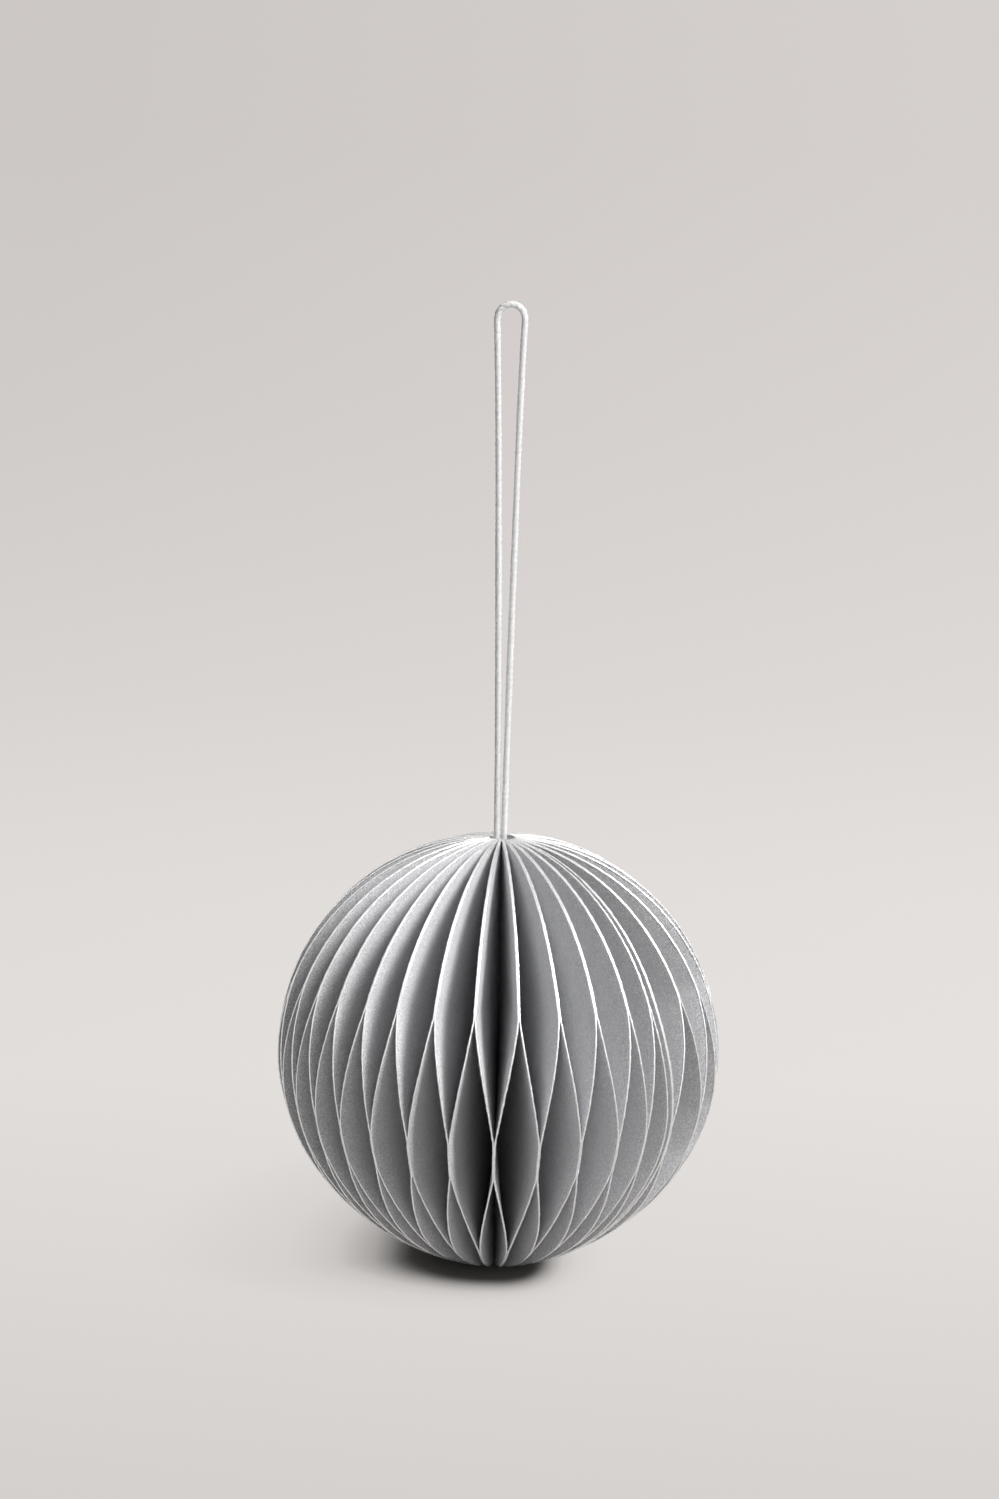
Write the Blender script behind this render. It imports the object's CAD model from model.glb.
# %% [markdown]
# A honeycomb ball of grey paper, hung on a loop of white cord. Sixty-seven half-disc leaves stand
# round a glued spine, each leaf is glued to its two neighbours at different heights, and so the
# ball opens into lens-shaped cells. Every cut edge wears white glitter.
#
# The shapes are measured in metres in the frame of the solid model, with the origin at the inside
# top of the loop. The solid model is loaded first, and its box is kept to compare sizes at the end.

# %% Tools and the shared frame
import math
import bmesh
import bpy
import numpy as np
from mathutils import Euler
from mathutils import Matrix
from mathutils import Vector


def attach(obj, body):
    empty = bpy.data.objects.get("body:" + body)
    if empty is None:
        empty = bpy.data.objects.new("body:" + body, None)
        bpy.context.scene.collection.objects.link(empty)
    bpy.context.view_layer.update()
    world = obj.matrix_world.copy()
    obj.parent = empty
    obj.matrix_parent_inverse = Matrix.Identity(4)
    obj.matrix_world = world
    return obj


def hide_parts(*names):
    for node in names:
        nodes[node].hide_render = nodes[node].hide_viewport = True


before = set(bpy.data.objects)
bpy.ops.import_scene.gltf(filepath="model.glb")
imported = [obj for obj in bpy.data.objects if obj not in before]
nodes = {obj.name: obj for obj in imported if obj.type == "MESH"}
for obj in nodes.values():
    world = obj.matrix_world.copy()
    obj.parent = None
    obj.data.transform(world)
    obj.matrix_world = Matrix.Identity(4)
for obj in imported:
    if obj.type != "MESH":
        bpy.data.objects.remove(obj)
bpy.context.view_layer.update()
MM = 0.001

# %% [markdown]
# The camera looks down on the ball a little, from straight in front. The line to the ball's middle
# falls by 15.4 degrees, and the picture's middle lies higher, on the cord. The lens is long, about
# 88 mm, as for a photograph of a small thing. A roll of one degree lets the ball lean as it does.

# %% Camera
BALL_MID = -0.135
STAND_OFF = 0.670
FALL = math.radians(15.4)
FOCAL_PX = 3663.0
PICTURE = (999, 1499)
MID_PX = (498.4, 1051.7)
ROLL = math.radians(1.0)


def make_camera():
    drop_px = MID_PX[1] - PICTURE[1] / 2
    side_px = MID_PX[0] - PICTURE[0] / 2
    # The roll turns the picture about its middle, so the ball's place is turned back by it first.
    side = side_px * math.cos(ROLL) + drop_px * math.sin(ROLL)
    drop = drop_px * math.cos(ROLL) - side_px * math.sin(ROLL)
    pitch = FALL - math.atan(drop / FOCAL_PX)
    yaw = math.atan(side / FOCAL_PX)
    data = bpy.data.cameras.new("camera")
    data.sensor_fit = "VERTICAL"
    data.sensor_height = 36
    data.lens = 36 * FOCAL_PX / PICTURE[1]
    data.clip_start = 0.01
    camera = bpy.data.objects.new("camera", data)
    bpy.context.scene.collection.objects.link(camera)
    height = BALL_MID + STAND_OFF * math.sin(FALL)
    place = Matrix.Translation((0, -STAND_OFF * math.cos(FALL), height))
    turn = Euler((math.pi / 2 - pitch, 0, yaw)).to_matrix().to_4x4()
    camera.matrix_world = place @ turn @ Matrix.Rotation(ROLL, 4, "Z")
    bpy.context.scene.camera = camera
    return camera


camera = make_camera()
print("lens:", round(camera.data.lens, 1), "mm, camera at", [round(c, 3) for c in camera.location])

# %% [markdown]
# The cord is one length of white twisted cotton, 1.2 mm thick. It comes up out of the spine's bore,
# makes the loop and goes down the bore again to the knot, so both its ends belong to the object.
# A curve with a round bevel would look like wire, so the cord is a tube whose section has three
# lobes, one for each strand, and the section turns as it goes along: that is what twisting does.

# %% The cord's line
CORD_D = 1.2 * MM
CORD_STEP = 0.30 * MM
SPAN_SAMPLES = 60
ROUTE_MM = [
    (-0.66, -168.6), (-0.7, -160), (-0.75, -146), (-0.8, -132), (-0.85, -116), (-0.9, -100),
    (-0.92, -94), (-1, -84), (-1.15, -70), (-1.35, -54), (-1.6, -38), (-1.85, -24), (-2.15, -12),
    (-2.35, -5), (-2.4, -1.8), (-2.08, -0.6), (-1.2, 0.28), (0, 0.6), (1.2, 0.28), (2.08, -0.6),
    (2.4, -1.8), (2.3, -5), (2.05, -12), (1.7, -24), (1.4, -38), (1.05, -54), (0.75, -70),
    (0.5, -84), (0.36, -94), (0.34, -100), (0.38, -116), (0.42, -132), (0.48, -146), (0.53, -160),
    (0.57, -168.6)]


def line_length(line):
    return float(np.linalg.norm(np.diff(line, axis=0), axis=1).sum())


def distances(line):
    """How far along the line each of its points lies."""
    return np.concatenate([[0], np.cumsum(np.linalg.norm(np.diff(line, axis=0), axis=1))])


def even_line(points, step):
    """The same line with a point about every step."""
    p = np.array(points, float)
    along = distances(p)
    wanted = np.linspace(0, along[-1], round(along[-1] / step) + 1)
    return np.column_stack([np.interp(wanted, along, p[:, i]) for i in range(3)])


def smooth_line(points, step):
    """A smooth line through the points, with a point about every step."""
    p = np.array(points, float)
    p = np.vstack([2 * p[0] - p[1], p, 2 * p[-1] - p[-2]])
    fine = []
    for a, b, c, d in zip(p[:-3], p[1:-2], p[2:-1], p[3:]):
        spans = (max(np.linalg.norm(e), 1e-9) ** 0.5 for e in (b - a, c - b, d - c))
        knots = np.cumsum([0, *spans])
        for t in np.linspace(knots[1], knots[2], SPAN_SAMPLES, endpoint=False):
            ab = (a * (knots[1] - t) + b * (t - knots[0])) / (knots[1] - knots[0])
            bc = (b * (knots[2] - t) + c * (t - knots[1])) / (knots[2] - knots[1])
            cd = (c * (knots[3] - t) + d * (t - knots[2])) / (knots[3] - knots[2])
            abc = (ab * (knots[2] - t) + bc * (t - knots[0])) / (knots[2] - knots[0])
            bcd = (bc * (knots[3] - t) + cd * (t - knots[1])) / (knots[3] - knots[1])
            fine.append((abc * (knots[2] - t) + bcd * (t - knots[1])) / (knots[2] - knots[1]))
    return even_line(fine + [p[-2]], step)


route = [(x * MM, 0, z * MM) for x, z in ROUTE_MM]
cord_line = smooth_line(route, CORD_STEP)
print("cord:", round(line_length(cord_line) * 1000, 1), "mm in", len(cord_line), "points")

# %% The cord's twisted tube
STRANDS = 3
STRAND_DEPTH = 0.20
TWIST_PITCH = 3.3 * MM
TUBE_SIDES = 18
YARN_FUZZ = 0.035
SLOW_WAVE = 9.1 * MM
QUICK_WAVE = 3.7 * MM


def mesh_piece(name, points, faces):
    mesh = bpy.data.meshes.new(name)
    mesh.from_pydata([tuple(p) for p in points], [], [tuple(f) for f in faces])
    mesh.update()
    piece = bpy.data.objects.new(name, mesh)
    bpy.context.scene.collection.objects.link(piece)
    return piece


def twisted_tube(name, line, radius, seed):
    """A tube with a three-lobed section that turns along the line, with slightly uneven yarn."""
    rng = np.random.default_rng(seed)
    tangent = np.gradient(line, axis=0)
    tangent /= np.linalg.norm(tangent, axis=1)[:, None]
    across = [np.cross((0, 1, 0), tangent[0])]
    for t in tangent[1:]:
        a = across[-1] - t * np.dot(across[-1], t)
        across.append(a / np.linalg.norm(a))
    across = np.array(across)
    across[0] /= np.linalg.norm(across[0])
    other = np.cross(tangent, across)
    along = distances(line)
    rows = len(line)
    sides = TUBE_SIDES
    a = np.linspace(0, 2 * math.pi, sides, endpoint=False)
    turn = 2 * math.pi * along / TWIST_PITCH
    lobe = 1 - STRAND_DEPTH + STRAND_DEPTH * np.abs(np.cos(STRANDS * a / 2)) ** 0.7
    fuzz = 1 + YARN_FUZZ * rng.standard_normal((rows, sides))
    swell = 1 + 0.04 * np.sin(along / SLOW_WAVE + 1) + 0.03 * np.sin(along / QUICK_WAVE)
    r = radius * lobe[None, :] * fuzz * swell[:, None]
    phase = a[None, :] + turn[:, None]
    points = (line[:, None, :] + (r * np.cos(phase))[..., None] * across[:, None, :]
              + (r * np.sin(phase))[..., None] * other[:, None, :]).reshape(-1, 3)
    faces = []
    for i in range(rows - 1):
        for s in range(sides):
            n = (s + 1) % sides
            faces.append((i * sides + s, i * sides + n, (i + 1) * sides + n, (i + 1) * sides + s))
    faces.append(tuple(range(sides - 1, -1, -1)))
    faces.append(tuple((rows - 1) * sides + s for s in range(sides)))
    piece = mesh_piece(name, points, faces)
    for p in piece.data.polygons:
        p.use_smooth = True
    return piece


cord = twisted_tube("hanging_cord", cord_line, CORD_D / 2, 3)
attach(cord, "root")
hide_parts("cord_loop")
print("cord faces:", len(cord.data.polygons))

# %% [markdown]
# The knot sits in the hollow under the spine and carries the ball. It is a guess, because it can
# only be seen from right below. It is a stopper knot of the same cord: three turns round the two
# legs and two short ends. Each is the same twisted tube, laid along a line of its own, and they are
# joined into one piece.

# %% Knot
KNOT_TOP = -168.6 * MM
KNOT_TURNS = 3
TURN_POINTS = 16
TURN_R = 1.46 * MM
TURNS_DOWN = 0.66 * MM
TURNS_HIGH = 2.85 * MM
# Points of one end: out to its side, back, and down from the knot's top.
END_MM = [(0.62, 0, 0.3), (0.66, 0, 2.2), (0.8, 0.05, 4), (0.95, 0.1, 5.15)]


def select_only(piece):
    bpy.ops.object.select_all(action="DESELECT")
    piece.select_set(True)
    bpy.context.view_layer.objects.active = piece


def join(pieces, name):
    select_only(pieces[0])
    for piece in pieces[1:]:
        piece.select_set(True)
    bpy.ops.object.join()
    pieces[0].name = name
    pieces[0].data.name = name
    return pieces[0]


def make_knot():
    turns = []
    last = KNOT_TURNS * TURN_POINTS
    for i in range(last + 1):
        a = 2 * math.pi * i / TURN_POINTS
        turns.append((TURN_R * math.cos(a), TURN_R * math.sin(a),
                      KNOT_TOP - TURNS_DOWN - TURNS_HIGH * i / last))
    parts = [twisted_tube("knot_turns", smooth_line(turns, CORD_STEP), 0.62 * MM, 11)]
    for side in (-1, 1):
        end = [(side * x * MM, y * MM, KNOT_TOP - down * MM) for x, y, down in END_MM]
        parts.append(twisted_tube("knot_end", smooth_line(end, CORD_STEP), 0.58 * MM, 12 + side))
    return join(parts, "cord_knot")


knot = make_knot()
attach(knot, "root")
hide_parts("knot")
print("knot faces:", len(knot.data.polygons))

# %% [markdown]
# How the leaves stand. Seen from above, every leaf starts at its place on the spine's ring and
# points outwards at an azimuth. Two leaves make a pair: they are glued together over the top third
# and again at the very bottom. In between, below the middle, each is glued to the next pair. So a
# leaf's direction swings from its pair's line to the line between two pairs and back, and the
# amount of the swing depends only on the height. These functions are the whole honeycomb. Heights
# are shares of the ball's radius, above its middle, and azimuths are degrees from the front.

# %% The honeycomb's plan
BALL_R = 40 * MM
LEAF_T = 0.22 * MM
SQUASH = 0.98
LOWER_POWER = 0.58
PAIRS = 33
LEAVES = 2 * PAIRS + 1
LEAF_STEP = 360 / LEAVES
SPINE_R = LEAF_T / (2 * math.sin(math.radians(LEAF_STEP / 2)))
SEAM_AZ = 51.5
FIRST_PAIR_AZ = 59.5
FAN_STEPS = [13, 12] + [10.75] * 18 + [
    12.5, 10.2, 10.2, 10.4, 10.2, 10.9, 11.1, 11.9, 11.1, 10.7, 10.3, 7.9]
PAIR_AZ = [FIRST_PAIR_AZ + sum(FAN_STEPS[:k]) for k in range(PAIRS)]
END_LEAF_AZ = 47.9
SEAM_START_AZ = 51.2
SEAM_END_AZ = 409
BETWEEN_AZ = [(PAIR_AZ[k] + PAIR_AZ[k + 1]) / 2 for k in range(PAIRS - 1)]
SIDE_AZ = [SEAM_START_AZ] + BETWEEN_AZ + [SEAM_END_AZ]
PAIR_GLUE_ENDS = 0.39
SWING_OUT = 0.54
SIDE_GLUE = -0.235
SWING_BACK = 0.45
FOOT_GLUE = -0.77
LEAST_SWING = 0.004


def polar(r, az):
    return np.array([r * math.sin(math.radians(az)), -r * math.cos(math.radians(az))])


def spine(j):
    return polar(SPINE_R, SEAM_AZ + j * LEAF_STEP)


def aim(j, az):
    """The direction, in degrees, from the spine's point j to the rim at an azimuth."""
    d = polar(BALL_R, az) - spine(j)
    a = math.degrees(math.atan2(d[0], -d[1]))
    return a + 360 * round((az - a) / 360)


def ease(s):
    return 0.85 * s + 0.15 * (3 * s * s - 2 * s ** 3)


def swing(z):
    """0 where the two leaves of a pair are glued together, 1 where the next pair is glued on."""
    h = np.asarray(z) / BALL_R
    out = ease(np.clip((PAIR_GLUE_ENDS - h) / SWING_OUT, 0, 1))
    back = ease(np.clip((h - FOOT_GLUE) / SWING_BACK, 0, 1))
    return np.maximum(np.where(h > SIDE_GLUE, out, back), LEAST_SWING)


print("leaves:", LEAVES, "spine radius:", round(SPINE_R * 1000, 2), "mm")

# %% [markdown]
# Hand-made balls aren't perfect: glue lines wander, and leaves are set a hair high or low. A slow
# sum of three waves gives each glue line its own wander of about a tenth of a millimetre at the
# rim. Both leaves at a glue line share it, so they never pass through each other.

# %% Small wanders
GLUE_WANDER = 0.16
SEAM_WANDER = 0.10


def wander(key, z, size):
    """How far a glue line strays at height z, in degrees: size times a sum of slow waves."""
    rng = np.random.default_rng(1000 + key)
    total = np.zeros_like(np.asarray(z, float))
    for waves in (1.2, 2.6, 5.5):
        wave = np.sin(waves * 2 * math.pi * z / (2 * BALL_R) + rng.uniform(0, 6.28))
        total += wave * rng.uniform(0.4, 1) / waves
    return size * total


def leaf_direction(leaf, z):
    """Azimuth, in degrees, that a leaf points in at height z above the ball's middle."""
    z = np.asarray(z, float)
    v = swing(z)
    if leaf == 0:
        seam = aim(0, END_LEAF_AZ) * (1 - v) + aim(1, SEAM_START_AZ) * v
        return seam + wander(90, z, SEAM_WANDER)
    k = (leaf + 1) // 2
    left = leaf % 2 == 1
    bond = aim(2 * k, PAIR_AZ[k - 1]) + wander(k, z, GLUE_WANDER)
    j, side = (2 * k - 1, k - 1) if left else (2 * k + 1, k)
    glued = aim(j, SIDE_AZ[side])
    if 0 < side < PAIRS:
        glued = glued + wander(50 + side, z, GLUE_WANDER)
    return bond * (1 - v) + glued * v


def stand_leaf(points, leaf):
    """Turns the flat leaf's points (distance from the axis, side, height) to where it stands."""
    points = np.asarray(points, float)
    a = np.radians(leaf_direction(leaf, points[:, 2]))
    rng = np.random.default_rng(2000 + leaf)
    lift = rng.uniform(-0.10, 0.10) * MM
    start = (spine(leaf) + spine(leaf + 1)) / 2
    out = points[:, 0] - SPINE_R
    x = start[0] + out * np.sin(a) + points[:, 1] * np.cos(a)
    y = start[1] - out * np.cos(a) + points[:, 1] * np.sin(a)
    return np.column_stack([x, y, points[:, 2] + lift + BALL_MID])


front_az = float(leaf_direction(54, 0.5 * BALL_R)) - 360
print("front pair points at", round(front_az, 2), "degrees at the top")

# %% [markdown]
# One leaf, flat. A leaf is a half disc, and the way to it by hand is short: a filled circle is cut
# down the spine's line, then sliced into level rows, because the rows are what the honeycomb swings
# later. The real ball isn't quite round underneath: it is a little flat, and slim at its lower
# shoulder. So the lower rows are pressed towards the spine one by one, and the lower half is
# pressed flat. Three upright cuts split the long rows into shorter faces, and the leaf is trimmed
# where its top and its end come close to the spine. Solidify gives the paper its 0.22 mm.

# %% The flat leaf
RIM_POINTS = 224
# Where the upright cuts are, as shares of the ball's radius.
COLUMNS = (0.3, 0.55, 0.8)
# How wide the leaf still is where it is trimmed.
TOP_WIDTH = 1.25 * MM
END_WIDTH = 0.8 * MM
LEAF_TOP = BALL_R * math.sqrt(1 - ((SPINE_R + TOP_WIDTH) / BALL_R) ** 2)
LEAF_END = -SQUASH * BALL_R * math.sqrt(
    1 - ((SPINE_R + END_WIDTH) / BALL_R) ** (1 / LOWER_POWER))


def outline(z):
    """Radius of the ball at a height above its middle."""
    q = z / BALL_R / (SQUASH if z < 0 else 1)
    return BALL_R * max(1 - q * q, 0) ** (LOWER_POWER if z < 0 else 0.5)


def cut(place, normal, inner=False, outer=False):
    bpy.ops.mesh.bisect(plane_co=place, plane_no=normal, clear_inner=inner, clear_outer=outer)


def pick(piece, test):
    mesh = bmesh.from_edit_mesh(piece.data)
    for v in mesh.verts:
        v.select_set(bool(test(v.co)))
    mesh.select_flush(True)
    mesh.select_flush(False)
    bmesh.update_edit_mesh(piece.data)


def own_copy(piece):
    """A copy of a piece with a mesh of its own."""
    double = piece.copy()
    double.data = piece.data.copy()
    bpy.context.scene.collection.objects.link(double)
    return double


def thicken(piece):
    """Gives a sheet the paper's thickness, half to each side."""
    select_only(piece)
    ply = piece.modifiers.new("paper", "SOLIDIFY")
    ply.thickness = LEAF_T
    ply.offset = 0
    bpy.ops.object.modifier_apply(modifier="paper")


def flat_leaf():
    bpy.ops.object.select_all(action="DESELECT")
    bpy.ops.mesh.primitive_circle_add(vertices=RIM_POINTS, radius=BALL_R, fill_type="NGON",
                                      rotation=(math.pi / 2, 0, 0))
    leaf = bpy.context.object
    bpy.ops.object.transform_apply(location=False, rotation=True, scale=False)
    heights = sorted({round(v.co.z, 7) for v in leaf.data.vertices})
    bpy.ops.object.mode_set(mode="EDIT")
    bpy.ops.mesh.select_all(action="SELECT")
    cut((SPINE_R, 0, 0), (1, 0, 0), inner=True)
    rows = [z for z in heights if abs(z) < 0.998 * BALL_R]
    for z in rows:
        bpy.ops.mesh.select_all(action="SELECT")
        cut((0, 0, z), (0, 0, 1))
    for z in rows:
        if z < -1e-7:
            pick(leaf, lambda co: abs(co.z - z) < 1e-6)
            share = (outline(z * SQUASH) - SPINE_R) / (math.sqrt(BALL_R ** 2 - z * z) - SPINE_R)
            bpy.ops.transform.resize(value=(share, 1, 1), center_override=(SPINE_R, 0, 0))
    pick(leaf, lambda co: co.z < -1e-7)
    bpy.ops.transform.resize(value=(1, 1, SQUASH), center_override=(0, 0, 0))
    for x in COLUMNS:
        bpy.ops.mesh.select_all(action="SELECT")
        cut((x * BALL_R, 0, 0), (1, 0, 0))
    bpy.ops.mesh.select_all(action="SELECT")
    cut((0, 0, LEAF_TOP), (0, 0, 1), outer=True)
    bpy.ops.mesh.select_all(action="SELECT")
    cut((0, 0, LEAF_END), (0, 0, 1), inner=True)
    bpy.ops.object.mode_set(mode="OBJECT")
    sheet = own_copy(leaf)
    thicken(leaf)
    return leaf, sheet


def keep_edge_distance(piece):
    """Writes each point's distance from the cut edge, in millimetres, for the glitter dust."""
    depth = piece.data.attributes.new("edge_mm", "FLOAT", "POINT")
    for v, value in zip(piece.data.vertices, depth.data):
        value.value = max(outline(v.co.z) - v.co.x, 0) * 1000


leaf_shape, leaf_sheet = flat_leaf()
keep_edge_distance(leaf_shape)
print("flat leaf faces:", len(leaf_shape.data.polygons),
      "size:", [round(c * 1000, 1) for c in leaf_shape.dimensions])

# %% [markdown]
# The glitter's bed. The cut edges were dipped in white glitter, which makes a bead about 0.4 mm
# wide on the 0.22 mm paper. The flat sheet's outer edge is taken off as a line, made a curve and
# given a round bevel, which is the quickest way to a bead that follows a shape. The lumps come
# later, from a Displace modifier, when each bead stands in its own place and gets its own lumps.

# %% The flat bead
BEAD_R = 0.155 * MM
BEAD_WIDTH = 1.12
RIM_STEP = 0.42 * MM
SPINE_SLACK = 0.05 * MM


def rim_line(sheet, inner_r):
    """The sheet's cut edge as points, from the top to the bottom, without the glued spine edge."""
    count = {}
    for p in sheet.data.polygons:
        for key in p.edge_keys:
            count[key] = count.get(key, 0) + 1
    links = {}
    for (a, b), n in count.items():
        ca = sheet.data.vertices[a].co
        cb = sheet.data.vertices[b].co
        if n == 1 and not (ca.x < inner_r and cb.x < inner_r):
            links.setdefault(a, []).append(b)
            links.setdefault(b, []).append(a)
    ends = [i for i, near in links.items() if len(near) == 1]
    here = max(ends, key=lambda i: sheet.data.vertices[i].co.z)
    line = [here]
    while True:
        ahead = [i for i in links[here] if i not in line[-2:]]
        if not ahead:
            break
        here = ahead[0]
        line.append(here)
    return [tuple(sheet.data.vertices[i].co) for i in line]


def flat_bead(name, line):
    curve = bpy.data.curves.new(name, "CURVE")
    curve.dimensions = "3D"
    spline = curve.splines.new("POLY")
    spline.points.add(len(line) - 1)
    for point, co in zip(spline.points, line):
        point.co = (*co, 1)
    curve.bevel_depth = BEAD_R
    curve.bevel_resolution = 1
    curve.use_fill_caps = True
    bead = bpy.data.objects.new(name, curve)
    bpy.context.scene.collection.objects.link(bead)
    select_only(bead)
    bpy.ops.object.convert(target="MESH")
    bpy.ops.object.mode_set(mode="EDIT")
    bpy.ops.mesh.select_all(action="SELECT")
    bpy.ops.mesh.remove_doubles(threshold=1e-7)
    bpy.ops.mesh.normals_make_consistent(inside=False)
    bpy.ops.transform.resize(value=(1, BEAD_WIDTH, 1), center_override=(0, 0, 0))
    bpy.ops.object.mode_set(mode="OBJECT")
    return bead


leaf_rim = even_line(rim_line(leaf_sheet, SPINE_R + SPINE_SLACK), RIM_STEP)
bead_shape = flat_bead("bead_shape", leaf_rim)
print("rim:", round(line_length(leaf_rim) * 1000, 1), "mm, bead faces:",
      len(bead_shape.data.polygons))

# %% [markdown]
# A grain of glitter is a tiny twelve-sided crystal. It is modelled once, from the smallest ball
# that Blender makes, pressed into a flake. Hundreds are strewn over each bead, each turned its own
# way, so that here and there one catches the light. One in twenty is much larger than the rest.

# %% One grain, strewn along an edge
def make_grain():
    bpy.ops.object.select_all(action="DESELECT")
    bpy.ops.mesh.primitive_uv_sphere_add(segments=4, ring_count=3, radius=0.5)
    grain = bpy.context.object
    bpy.ops.object.mode_set(mode="EDIT")
    bpy.ops.mesh.select_all(action="SELECT")
    bpy.ops.transform.resize(value=(1, 0.8, 0.55))
    bpy.ops.object.mode_set(mode="OBJECT")
    return grain


grain_shape = make_grain()
GRAIN_POINTS = np.array([v.co for v in grain_shape.data.vertices])
GRAIN_FACES = [tuple(p.vertices) for p in grain_shape.data.polygons]
GRAINS_PER_MM = 3.6
GRAIN_SIZE = 0.085 * MM
LARGE_SHARE = 0.05
LARGE_MM = (0.2, 0.3)
# Grains lie up to this angle round the bead, and from inside its skin to just outside it.
GRAIN_SPREAD = 1.25
GRAIN_REACH = (0.86, 1.12)


def random_turns(rng, n):
    q = rng.standard_normal((n, 4))
    q /= np.linalg.norm(q, axis=1)[:, None]
    w, x, y, z = q.T
    return np.stack([
        np.stack([1 - 2 * (y * y + z * z), 2 * (x * y - z * w), 2 * (x * z + y * w)], -1),
        np.stack([2 * (x * y + z * w), 1 - 2 * (x * x + z * z), 2 * (y * z - x * w)], -1),
        np.stack([2 * (x * z - y * w), 2 * (y * z + x * w), 1 - 2 * (x * x + y * y)], -1)], 1)


def strew(line, seed, offset=0.0):
    """Points and faces of the grains on a flat bead along line."""
    rng = np.random.default_rng(seed)
    n = int(line_length(line) * 1000 * GRAINS_PER_MM)
    at = rng.uniform(0, len(line) - 1.001, n)
    i = at.astype(int)
    middle = line[i] + (line[i + 1] - line[i]) * (at - i)[:, None]
    along = line[i + 1] - line[i]
    along /= np.linalg.norm(along, axis=1)[:, None]
    out = np.stack([-along[:, 2], np.zeros(n), along[:, 0]], -1)
    a = rng.uniform(-GRAIN_SPREAD, GRAIN_SPREAD, n)
    reach = BEAD_R * rng.uniform(*GRAIN_REACH, n)
    middle = middle + out * (reach * np.cos(a))[:, None]
    middle[:, 1] += BEAD_WIDTH * reach * np.sin(a) + offset
    size = GRAIN_SIZE + GRAIN_SIZE * rng.random(n) ** 2
    size = np.where(rng.random(n) < LARGE_SHARE, rng.uniform(*LARGE_MM, n) * MM, size)
    turned = np.einsum("nij,pj->npi", random_turns(rng, n), GRAIN_POINTS) * size[:, None, None]
    points = (middle[:, None, :] + turned).reshape(-1, 3)
    faces = [tuple(v + g * len(GRAIN_POINTS) for v in f) for g in range(n) for f in GRAIN_FACES]
    return points, faces


print("grain:", len(GRAIN_POINTS), "points,", len(GRAIN_FACES), "faces; per leaf",
      int(line_length(leaf_rim) * 1000 * GRAINS_PER_MM))

# %% [markdown]
# The leaves are set up. The flat leaf and its bead are copied for every leaf, and the copy's points
# are turned row by row to the leaf's own direction. Blender's bend can't do this, because the swing
# is different at each height, so the points are moved in code. The two leaves of a pair are joined
# into one piece, as they are glued, and so are the two beads with their grains.

# %% Setting up the leaves
lump_noise = bpy.data.textures.new("lumps", "CLOUDS")
lump_noise.noise_scale = 0.00042
lump_noise.noise_depth = 1


def points_of(piece):
    co = np.empty(len(piece.data.vertices) * 3)
    piece.data.vertices.foreach_get("co", co)
    return co.reshape(-1, 3)


def stand_copy(shape, name, leaf, offset=0.0):
    piece = bpy.data.objects.new(name, shape.data.copy())
    bpy.context.scene.collection.objects.link(piece)
    flat = points_of(shape)
    flat[:, 1] += offset
    piece.data.vertices.foreach_set("co", stand_leaf(flat, leaf).ravel())
    piece.data.update()
    return piece


def lumpy(bead):
    select_only(bead)
    lumps = bead.modifiers.new("lumps", "DISPLACE")
    lumps.texture = lump_noise
    lumps.texture_coords = "LOCAL"
    lumps.strength = 0.26 * MM
    lumps.mid_level = 0.5
    bpy.ops.object.modifier_apply(modifier="lumps")
    return bead


def leaf_glitter(shape, line, leaf, offset=0.0):
    """The bead and the grains of one leaf, or of the ply at an offset beside it."""
    bead = lumpy(stand_copy(shape, "bead", leaf, offset))
    points, faces = strew(line, 5000 + leaf + (500 if offset else 0), offset)
    return [bead, mesh_piece("grains", stand_leaf(points, leaf), faces)]


def finish_paper(piece, node):
    select_only(piece)
    bpy.ops.object.shade_smooth_by_angle(angle=math.radians(35))
    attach(piece, "root")
    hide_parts(node)
    return piece


def finish_glitter(piece):
    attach(piece, "root")
    return piece


papers = []
glitters = []
for k in range(1, PAIRS + 1):
    pair = (2 * k - 1, 2 * k)
    two = [stand_copy(leaf_shape, "leaf", leaf) for leaf in pair]
    papers.append(finish_paper(join(two, f"pair_leaves_{k:02d}"), f"leaf_pair_{k:02d}"))
    parts = [part for leaf in pair for part in leaf_glitter(bead_shape, leaf_rim, leaf)]
    glitters.append(finish_glitter(join(parts, f"pair_glitter_{k:02d}")))
print("pairs:", len(papers), "faces of a pair:", len(papers[0].data.polygons),
      "faces of its glitter:", len(glitters[0].data.polygons))

# %% [markdown]
# The ball closes at the front right. There the last pair's leaf stands beside a single end leaf,
# and the end leaf carries a second ply, the cover, which makes its edge look thicker. The cover is
# the flat leaf again, cut off twelve millimetres from the spine.

# %% End leaf and cover ply
COVER_START = 12 * MM
COVER_TOP = 0.87 * BALL_R
COVER_END = -0.85 * BALL_R


def trimmed(shape, cuts):
    piece = own_copy(shape)
    select_only(piece)
    bpy.ops.object.mode_set(mode="EDIT")
    for place, normal in cuts:
        bpy.ops.mesh.select_all(action="SELECT")
        cut(place, normal, inner=True)
    bpy.ops.object.mode_set(mode="OBJECT")
    return piece


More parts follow.
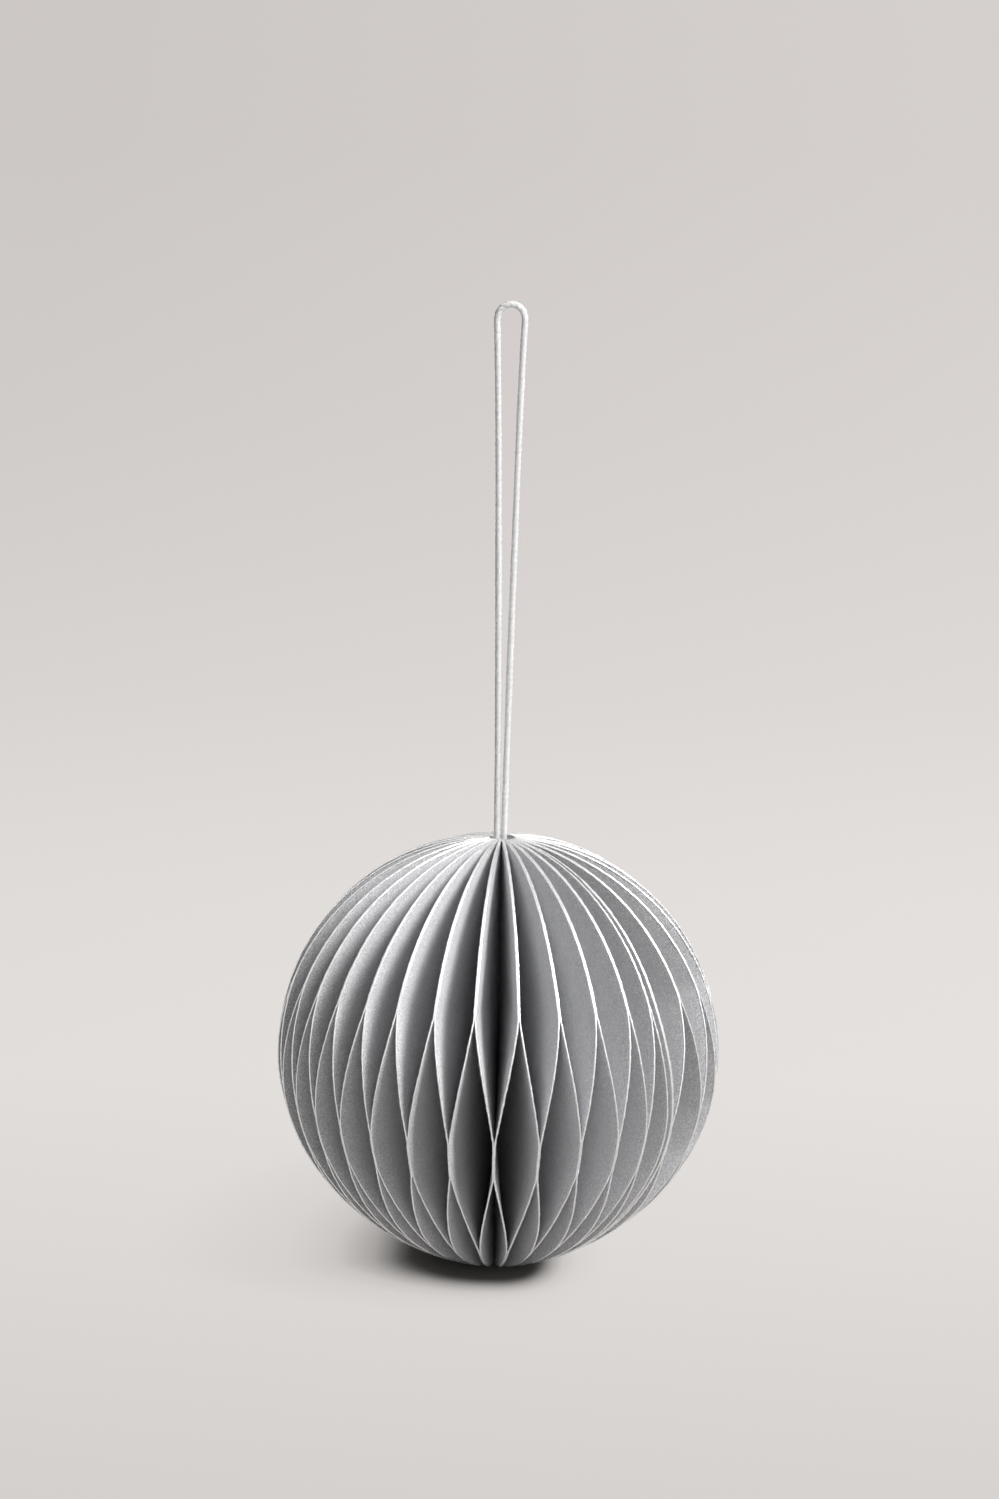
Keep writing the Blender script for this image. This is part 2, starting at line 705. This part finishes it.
cover_sheet = trimmed(leaf_sheet, [
    ((SPINE_R + COVER_START, 0, 0), (1, 0, 0)), ((0, 0, COVER_END), (0, 0, 1)),
    ((0, 0, COVER_TOP), (0, 0, -1))])
cover_rim = rim_line(cover_sheet, SPINE_R + COVER_START + SPINE_SLACK)
cover_rim = even_line([p for p in cover_rim if p[0] > 0.999 * outline(p[2])], RIM_STEP)
cover_shape = own_copy(cover_sheet)
thicken(cover_shape)
keep_edge_distance(cover_shape)
cover_bead = flat_bead("cover_bead", cover_rim)

papers.append(finish_paper(stand_copy(leaf_shape, "end_leaf_paper", 0), "end_leaf"))
papers.append(finish_paper(stand_copy(cover_shape, "cover_ply_paper", 0, -LEAF_T), "cover_ply"))
glitters.append(finish_glitter(join(leaf_glitter(bead_shape, leaf_rim, 0), "end_leaf_glitter")))
parts = leaf_glitter(cover_bead, cover_rim, 0, -LEAF_T)
glitters.append(finish_glitter(join(parts, "cover_ply_glitter")))
for shape in (leaf_shape, leaf_sheet, bead_shape, grain_shape,
              cover_sheet, cover_shape, cover_bead):
    bpy.data.objects.remove(shape)
print("papers:", len(papers), "glitters:", len(glitters))

# %% [markdown]
# Finishes. The paper is a soft grey board with short fibres: two noises at different sizes mottle
# its colour a little, and a very low bump takes the plastic look off it. Specks of glitter dust lie
# on it, dense at the cut edge and none in the depth. Object coordinates are used, so that the grain
# keeps its real size on every leaf.

# %% Paper
def start_material(name):
    material = bpy.data.materials.new(name)
    material.use_nodes = True
    tree = material.node_tree
    return material, tree, tree.nodes["Principled BSDF"]


def noise(tree, scale, detail, roughness=0.6):
    coords = tree.nodes.new("ShaderNodeTexCoord")
    node = tree.nodes.new("ShaderNodeTexNoise")
    node.inputs["Scale"].default_value = scale
    node.inputs["Detail"].default_value = detail
    node.inputs["Roughness"].default_value = roughness
    tree.links.new(coords.outputs["Object"], node.inputs["Vector"])
    return node.outputs["Fac"]


def ramp(tree, value, stops):
    """A colour ramp. A stop's colour is three numbers, or one for a grey."""
    node = tree.nodes.new("ShaderNodeValToRGB")
    tree.links.new(value, node.inputs["Fac"])
    for i, (place, colour) in enumerate(stops):
        stop = node.color_ramp.elements[i] if i < 2 else node.color_ramp.elements.new(place)
        stop.position = place
        stop.color = (*colour, 1) if isinstance(colour, tuple) else (colour, colour, colour, 1)
    return node.outputs["Color"]


def blend_colours(tree, kind, amount, a, b):
    node = tree.nodes.new("ShaderNodeMix")
    node.data_type = "RGBA"
    node.blend_type = kind
    node.inputs["Factor"].default_value = amount
    tree.links.new(a, node.inputs[6])
    tree.links.new(b, node.inputs[7])
    return node.outputs[2]


def math_node(tree, operation, a, b=None, c=None):
    node = tree.nodes.new("ShaderNodeMath")
    node.operation = operation
    for socket, value in zip(node.inputs, (a, b, c)):
        if isinstance(value, (int, float)):
            socket.default_value = value
        elif value is not None:
            tree.links.new(value, socket)
    return node.outputs["Value"]


def bump(tree, shader, height, distance, strength=1.0):
    node = tree.nodes.new("ShaderNodeBump")
    node.inputs["Distance"].default_value = distance
    node.inputs["Strength"].default_value = strength
    tree.links.new(height, node.inputs["Height"])
    tree.links.new(node.outputs["Normal"], shader.inputs["Normal"])


def dress(piece, material):
    piece.data.materials.clear()
    piece.data.materials.append(material)


def paper_material():
    material, tree, shader = start_material("grey_paper")
    fibres = ramp(tree, noise(tree, 1700, 5, 0.8), [
        (0.32, (0.600, 0.604, 0.620)), (0.68, (0.800, 0.803, 0.818))])
    clouds = ramp(tree, noise(tree, 420, 3), [(0.3, 0.94), (0.7, 1.0)])
    board = blend_colours(tree, "MULTIPLY", 1.0, fibres, clouds)
    # Glitter dust: specks where a fine noise is high, and ever fewer away from the cut edge.
    edge = tree.nodes.new("ShaderNodeAttribute")
    edge.attribute_name = "edge_mm"
    centimetres = math_node(tree, "MULTIPLY", edge.outputs["Fac"], 0.1)
    near = ramp(tree, centimetres, [(0.0, 0.20), (0.08, 0.12), (0.3, 0.045), (0.5, 0.0)])
    specks = math_node(tree, "ADD", noise(tree, 4200, 1, 0.5), near)
    dust = ramp(tree, specks, [(0.66, 0), (0.70, 1)])
    white = tree.nodes.new("ShaderNodeRGB")
    white.outputs[0].default_value = (0.93, 0.935, 0.95, 1)
    speckled = blend_colours(tree, "MIX", 1.0, board, white.outputs[0])
    tree.links.new(dust, speckled.node.inputs["Factor"])
    tree.links.new(speckled, shader.inputs["Base Color"])
    shader.inputs["Roughness"].default_value = 0.92
    shader.inputs["Specular IOR Level"].default_value = 0.25
    bump(tree, shader, noise(tree, 5200, 4, 0.7), 0.00004)
    return material


paper = paper_material()
for piece in papers:
    dress(piece, paper)
print("paper on", len(papers), "pieces")

# %% [markdown]
# Glitter is white and shiny: small facets that mirror the room or a lamp. The facets are real
# here, so the finish is mostly metal, with a low roughness and a tone that changes along the edge.

# %% Glitter
def glitter_material():
    material, tree, shader = start_material("white_glitter")
    tone = ramp(tree, noise(tree, 5200, 2, 0.6), [(0.36, (0.76, 0.765, 0.775)), (0.58, 0.98)])
    tree.links.new(tone, shader.inputs["Base Color"])
    shader.inputs["Metallic"].default_value = 0.85
    shader.inputs["Roughness"].default_value = 0.28
    shader.inputs["Specular IOR Level"].default_value = 0.6
    bump(tree, shader, noise(tree, 7000, 3, 0.7), 0.00005)
    return material


glitter = glitter_material()
for piece in glitters:
    dress(piece, glitter)
print("glitter on", len(glitters), "pieces")

# %% [markdown]
# The cord is bleached cotton. Its strands are in the mesh, and the finish adds the yarn's fine
# fibres: a noise that is stretched along the cord, as both legs run up and down. Loose yarn lets
# light through, and subsurface scattering does that. The spine and the two pads keep the solid
# model's shapes and only get a finish.

# %% Cord, spine and pads
def cord_material():
    material, tree, shader = start_material("white_cord")
    coords = tree.nodes.new("ShaderNodeTexCoord")
    along = tree.nodes.new("ShaderNodeMapping")
    along.inputs["Scale"].default_value = (1, 1, 0.35)
    tree.links.new(coords.outputs["Object"], along.inputs["Vector"])
    fibres = tree.nodes.new("ShaderNodeTexNoise")
    fibres.inputs["Scale"].default_value = 5200
    fibres.inputs["Detail"].default_value = 4
    fibres.inputs["Roughness"].default_value = 0.7
    tree.links.new(along.outputs["Vector"], fibres.inputs["Vector"])
    tone = ramp(tree, fibres.outputs["Fac"], [
        (0.3, (0.90, 0.89, 0.88)), (0.6, (0.98, 0.977, 0.97))])
    tree.links.new(tone, shader.inputs["Base Color"])
    shader.inputs["Roughness"].default_value = 0.85
    shader.inputs["Subsurface Weight"].default_value = 1.0
    shader.inputs["Subsurface Radius"].default_value = (1, 1, 1)
    shader.inputs["Subsurface Scale"].default_value = 0.0015
    shader.inputs["Sheen Weight"].default_value = 0.6
    shader.inputs["Sheen Roughness"].default_value = 0.5
    bump(tree, shader, fibres.outputs["Fac"], 0.00008)
    return material


def glue_material():
    material, tree, shader = start_material("spine_glue")
    tone = ramp(tree, noise(tree, 900, 4), [(0.3, (0.52, 0.51, 0.49)), (0.7, (0.70, 0.69, 0.66))])
    tree.links.new(tone, shader.inputs["Base Color"])
    shader.inputs["Roughness"].default_value = 0.55
    bump(tree, shader, noise(tree, 1500, 4), 0.0001)
    return material


def foam_material():
    material, tree, shader = start_material("closure_pad")
    tone = ramp(tree, noise(tree, 2400, 3), [(0.35, (0.70, 0.70, 0.69)), (0.6, (0.86, 0.86, 0.85))])
    tree.links.new(tone, shader.inputs["Base Color"])
    shader.inputs["Roughness"].default_value = 0.8
    bump(tree, shader, noise(tree, 3000, 3), 0.00012)
    return material


white_cord = cord_material()
dress(cord, white_cord)
dress(knot, white_cord)
dress(nodes["spine_core"], glue_material())
foam = foam_material()
dress(nodes["closure_pad_upper"], foam)
dress(nodes["closure_pad_lower"], foam)
print("finishes:", sorted(m.name for m in bpy.data.materials if m.users))

# %% [markdown]
# The set: a pale warm floor that curves up into the backdrop far behind, so no horizon shows. It is
# a plane whose back edge is pulled up, with the fold rounded by a wide bevel. Close to the ball the
# floor is plain card and takes the ball's shadow. Farther off, the camera sees more and more of a
# soft even tone, as the backdrop of a studio picture has. Only the camera's rays and mirrored rays
# see it, so that the glitter shows the same floor, and it puts no other light on the ball.

# %% Floor and backdrop
GLITTER_DEPTH = 0.22 * MM
FLOOR_Z = BALL_MID + LEAF_END - GLITTER_DEPTH
FLOOR_SIZE = 6
NEAR_BACK_EDGE = 2
BACKDROP_HEIGHT = 3
FOLD = 1.6
SHADOW_POWER = 2.3


def make_floor():
    bpy.ops.object.select_all(action="DESELECT")
    bpy.ops.mesh.primitive_plane_add(size=FLOOR_SIZE, location=(0, -0.6, FLOOR_Z))
    floor = bpy.context.object
    floor.name = "floor"
    bpy.ops.object.transform_apply(location=True, rotation=False, scale=False)
    bpy.ops.object.mode_set(mode="EDIT")
    bpy.ops.mesh.select_mode(type="EDGE")
    pick(floor, lambda co: co.y > NEAR_BACK_EDGE)
    bpy.ops.mesh.extrude_region_move(TRANSFORM_OT_translate={"value": (0, 0, BACKDROP_HEIGHT)})
    pick(floor, lambda co: co.y > NEAR_BACK_EDGE and abs(co.z - FLOOR_Z) < 0.01)
    bpy.ops.mesh.bevel(offset=FOLD, segments=24, affect="EDGES")
    bpy.ops.mesh.select_mode(type="VERT")
    bpy.ops.mesh.select_all(action="SELECT")
    bpy.ops.mesh.normals_make_consistent(inside=False)
    bpy.ops.object.mode_set(mode="OBJECT")
    bpy.ops.object.shade_smooth()
    return floor


def seen_ray(tree):
    """1 for a ray of the camera and for a mirrored ray."""
    ray = tree.nodes.new("ShaderNodeLightPath")
    return math_node(tree, "MAXIMUM", ray.outputs["Is Camera Ray"], ray.outputs["Is Glossy Ray"])


def floor_material():
    material, tree, shader = start_material("pale_card")
    shader.inputs["Roughness"].default_value = 0.95
    shader.inputs["Specular IOR Level"].default_value = 0.1
    coords = tree.nodes.new("ShaderNodeTexCoord")
    split = tree.nodes.new("ShaderNodeSeparateXYZ")
    tree.links.new(coords.outputs["Object"], split.inputs["Vector"])
    # How far back a place is: its depth on the floor, and then its height on the backdrop.
    back = math_node(tree, "ADD", split.outputs["Y"], split.outputs["Z"])
    back = math_node(tree, "MULTIPLY_ADD", back, 0.5, 0.25)
    depth_tone = ramp(tree, back, [
        (0.103, (0.668, 0.640, 0.620)), (0.163, (0.730, 0.700, 0.679)),
        (0.223, (0.775, 0.745, 0.720)), (0.313, (0.760, 0.730, 0.706)),
        (0.463, (0.708, 0.679, 0.658)), (0.763, (0.665, 0.631, 0.610)),
        (1.0, (0.638, 0.604, 0.584))])
    side = math_node(tree, "MULTIPLY_ADD", split.outputs["X"], 0.8, 0.5)
    side_tone = ramp(tree, side, [(0.3, 0.955), (0.7, (1.04, 1.04, 1.045))])
    glow = tree.nodes.new("ShaderNodeEmission")
    pale = blend_colours(tree, "MULTIPLY", 1.0, depth_tone, side_tone)
    tree.links.new(pale, glow.inputs["Color"])
    # How far a place is past the shadow: the shadow fades slowly to the left, and sooner to the
    # right, the front and the back. At a share of 0.5 the tone has half taken over.
    x = math_node(tree, "MULTIPLY", split.outputs["X"], 10.0)
    y = math_node(tree, "MULTIPLY", split.outputs["Y"], 10.0)
    left = ramp(tree, math_node(tree, "MULTIPLY", x, -1.0), [
        (0.0, 0), (0.126, 0.32), (0.219, 0.49), (0.368, 0.685), (0.65, 1)])
    right = math_node(tree, "MULTIPLY", x, 4.7)
    front = math_node(tree, "MULTIPLY", y, -2.97)
    behind = math_node(tree, "MULTIPLY", y, 1.1)
    aside = math_node(tree, "POWER", math_node(tree, "MAXIMUM", right, left), SHADOW_POWER)
    ahead = math_node(tree, "POWER", math_node(tree, "MAXIMUM", front, behind), SHADOW_POWER)
    past = math_node(tree, "ADD", aside, ahead)
    share = ramp(tree, math_node(tree, "POWER", past, 1 / SHADOW_POWER), [
        (0.37, 0), (0.41, 0.09), (0.5, 0.5), (0.59, 0.8), (0.71, 0.92), (1.0, 1)])
    # The card itself is darker right under the ball, which deepens the shadow there.
    square = math_node(tree, "MULTIPLY_ADD", x, x, math_node(tree, "MULTIPLY", y, y))
    away = math_node(tree, "SQRT", square)
    card = ramp(tree, away, [(0.11, (0.22, 0.215, 0.21)), (0.20, (0.50, 0.485, 0.475))])
    tree.links.new(card, shader.inputs["Base Color"])
    seen = math_node(tree, "MULTIPLY", share, seen_ray(tree))
    mix = tree.nodes.new("ShaderNodeMixShader")
    tree.links.new(seen, mix.inputs[0])
    tree.links.new(shader.outputs["BSDF"], mix.inputs[1])
    tree.links.new(glow.outputs["Emission"], mix.inputs[2])
    tree.links.new(mix.outputs["Shader"], tree.nodes["Material Output"].inputs["Surface"])
    return material


floor = make_floor()
dress(floor, floor_material())
print("floor at", round(FLOOR_Z * 1000, 2), "mm")

# %% [markdown]
# The light. A soft lamp stands high on the right and a little to the front, so the leaves on the
# left show bright bands along their edges, the deep cells stay dark and the shadow falls softly to
# the left. A weak lamp from the front keeps the front cell from going black, and the dim world
# fills in the rest. The levels are plain: a surface that faces the lamp renders about as its colour
# is written. The camera and the glitter see the world as a bright studio.

# %% Lamps and world
WORLD_FILL = 0.14
WORLD_SEEN = 0.85


def soft_lamp(name, place, size, watts):
    data = bpy.data.lights.new(name, "AREA")
    data.shape = "SQUARE"
    data.size = size
    data.energy = watts
    lamp = bpy.data.objects.new(name, data)
    bpy.context.scene.collection.objects.link(lamp)
    lamp.location = place
    aimed = Vector((0, 0, BALL_MID)) - Vector(place)
    lamp.rotation_euler = aimed.to_track_quat("-Z", "Y").to_euler()
    return lamp


soft_lamp("key", (0.722, -0.417, 0.728), size=0.45, watts=15.6)
soft_lamp("front", (0.341, -1.271, 0.344), size=0.5, watts=1.35)
world = bpy.data.worlds.new("studio")
bpy.context.scene.world = world
world.use_nodes = True
studio = world.node_tree
sky = studio.nodes["Background"]
sky.inputs["Color"].default_value = (1.0, 0.99, 0.98, 1)
level = math_node(studio, "MULTIPLY_ADD", seen_ray(studio), WORLD_SEEN, WORLD_FILL)
studio.links.new(level, sky.inputs["Strength"])
bpy.context.scene.view_settings.view_transform = "Standard"
